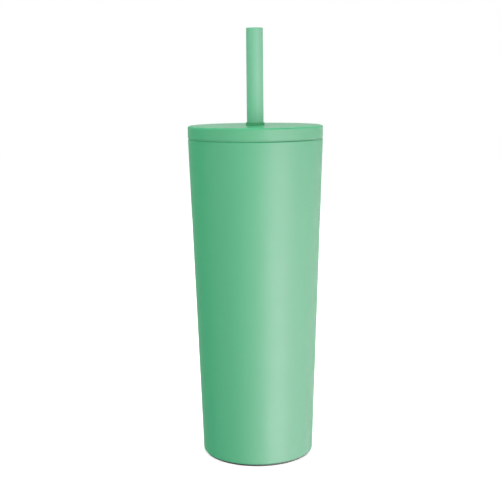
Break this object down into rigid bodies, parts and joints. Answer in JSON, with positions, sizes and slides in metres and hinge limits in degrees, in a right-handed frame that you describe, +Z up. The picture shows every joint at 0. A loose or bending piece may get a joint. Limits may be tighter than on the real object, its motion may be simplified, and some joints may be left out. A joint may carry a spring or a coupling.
{
  "type": "insulated straw tumbler",
  "caption": "Tall tapered double-wall vacuum tumbler in matte mint, with a flat press-in lid, a straight straw through a soft collar at its centre, and a non-slip pad under the base.",
  "frame": {"origin": "centre of the foot, on the surface the tumbler stands on", "axes": "+Z up along the tumbler's axis; the lid's air vent lies towards +Y, the back"},
  "size_m": [0.09, 0.09, 0.2881],
  "materials": {
    "mint_coat": "matte",
    "bare_steel": "satin",
    "copper_foil": "satin",
    "sealing_glass": "gloss",
    "getter_metal": "matte",
    "adhesive": "matte",
    "pad_silicone": "matte",
    "lid_plastic": "satin",
    "plug_plastic": "satin",
    "gasket_silicone": "satin",
    "grommet_silicone": "satin",
    "straw_plastic": "satin"
  },
  "bodies": {
    "cup": {"outer_shell": "mint_coat", "inner_liner": "bare_steel", "liner_bottom": "bare_steel", "radiation_foil": "copper_foil", "vacuum_base": "bare_steel", "vacuum_seal": "sealing_glass", "getter_holder": "bare_steel", "getter_pellet": "getter_metal", "base_cover": "bare_steel", "pad_adhesive": "adhesive", "base_pad": "pad_silicone"},
    "lid": {"lid_cap": "lid_plastic", "lid_plug": "plug_plastic", "lid_gasket": "gasket_silicone", "straw_grommet": "grommet_silicone"},
    "straw": {"straw_tube": "straw_plastic", "straw_stop": "grommet_silicone"}
  },
  "joints": [
    {"name": "lid_lift", "type": "slide", "parent": "cup", "child": "lid", "axis": [0, 0, 1], "range_m": [0, 0.24]},
    {"name": "straw_slide", "type": "slide", "parent": "lid", "child": "straw", "axis": [0, 0, 1], "range_m": [-0.0027, 0.176]}
  ]
}
